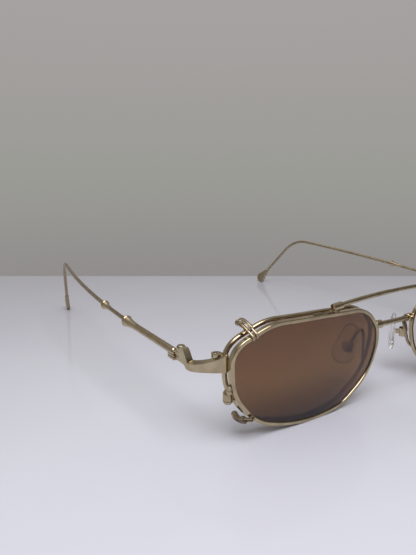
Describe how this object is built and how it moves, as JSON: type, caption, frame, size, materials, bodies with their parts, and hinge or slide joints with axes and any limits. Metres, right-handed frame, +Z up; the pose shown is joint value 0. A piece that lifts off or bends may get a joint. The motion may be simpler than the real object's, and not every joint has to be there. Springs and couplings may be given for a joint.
{
  "type": "spectacles with clip-on sunglasses",
  "caption": "Metal spectacles with folding wire temples, rocking nose pads and a tinted clip-on on wire claws, joined by a brow bar",
  "frame": {"origin": "middle plane, on the table under the front, at the height the rims and temple tips stand on", "axes": "front faces -Y, temples run to +Y, +Z up, left side of the wearer is +X"},
  "size_m": [0.1388, 0.1436, 0.0322],
  "materials": {
    "gold_metal": "polished light champagne gold plating",
    "screw_metal": "polished screw heads",
    "tinted_lens": "brown tinted, polished",
    "clear_lens": "clear, polished",
    "clear_silicone": "clear soft silicone",
    "clear_vinyl": "clear soft vinyl"
  },
  "bodies": {
    "frame": {"block_lower_left": "gold_metal", "block_lower_right": "gold_metal", "block_screws": "screw_metal", "block_upper_left": "gold_metal", "block_upper_right": "gold_metal", "bridge": "gold_metal", "bridge_collars": "gold_metal", "end_piece_left": "gold_metal", "end_piece_right": "gold_metal", "frame_lens_left": "clear_lens", "frame_lens_right": "clear_lens", "frame_rim_left": "gold_metal", "frame_rim_right": "gold_metal", "hinge_screws": "screw_metal", "pad_arm_left": "gold_metal", "pad_arm_right": "gold_metal", "pad_box_left": "gold_metal", "pad_box_right": "gold_metal", "pad_screws": "screw_metal"},
    "temple_right": {"temple_bar_right": "gold_metal", "temple_bead_right": "gold_metal", "temple_bell_right": "gold_metal", "temple_knuckle_right": "gold_metal", "temple_mid_right": "gold_metal", "temple_paddle_right": "gold_metal", "temple_wire_right": "gold_metal"},
    "temple_left": {"temple_bar_left": "gold_metal", "temple_bead_left": "gold_metal", "temple_bell_left": "gold_metal", "temple_knuckle_left": "gold_metal", "temple_mid_left": "gold_metal", "temple_paddle_left": "gold_metal", "temple_wire_left": "gold_metal"},
    "pad_right": {"nose_pad_right": "clear_silicone", "pad_stem_right": "gold_metal"},
    "pad_left": {"nose_pad_left": "clear_silicone", "pad_stem_left": "gold_metal"},
    "clip_bar": {"brow_bar": "gold_metal"},
    "clip_right": {"claw_lower_right": "gold_metal", "claw_sleeves_right": "clear_vinyl", "claw_upper_right": "gold_metal", "clip_block_right": "gold_metal", "clip_lens_right": "tinted_lens", "clip_rim_right": "gold_metal", "clip_screw_right": "screw_metal", "ferrule_right": "gold_metal", "strut_leg_right": "gold_metal", "strut_right": "gold_metal"},
    "clip_left": {"claw_lower_left": "gold_metal", "claw_sleeves_left": "clear_vinyl", "claw_upper_left": "gold_metal", "clip_block_left": "gold_metal", "clip_lens_left": "tinted_lens", "clip_rim_left": "gold_metal", "clip_screw_left": "screw_metal", "ferrule_left": "gold_metal", "strut_left": "gold_metal", "strut_leg_left": "gold_metal"}
  },
  "joints": [
    {"name": "temple_right_fold", "type": "hinge", "parent": "frame", "child": "temple_right", "pos_m": [-0.06466, 0.00961, 0.02035], "axis": [0, 0, -1], "range_deg": [0, 90]},
    {"name": "temple_left_fold", "type": "hinge", "parent": "frame", "child": "temple_left", "pos_m": [0.06466, 0.00961, 0.02035], "axis": [0, 0, 1], "range_deg": [0, 84]},
    {"name": "pad_right_rock", "type": "hinge", "parent": "frame", "child": "pad_right", "pos_m": [-0.01261, 0.00502, 0.01365], "axis": [-0.7909, 0.596, 0.1392], "range_deg": [-8, 8]},
    {"name": "pad_left_rock", "type": "hinge", "parent": "frame", "child": "pad_left", "pos_m": [0.01261, 0.00502, 0.01365], "axis": [-0.7909, -0.596, -0.1392], "range_deg": [-8, 8]},
    {"name": "clip_pull", "type": "slide", "parent": "frame", "child": "clip_bar", "axis": [0, -0.9989, -0.0471], "range_m": [0, 0.012]},
    {"name": "clip_right_spread", "type": "slide", "parent": "clip_bar", "child": "clip_right", "axis": [-0.9932, 0.0267, -0.1135], "range_m": [0, 0.0018], "stiffness_N_per_m": 300},
    {"name": "clip_left_spread", "type": "slide", "parent": "clip_bar", "child": "clip_left", "axis": [0.9932, 0.0267, -0.1135], "range_m": [0, 0.0018], "stiffness_N_per_m": 300}
  ],
  "couplings": [
    {"joint": "clip_left_spread", "follows": "clip_right_spread", "ratio": 1}
  ]
}
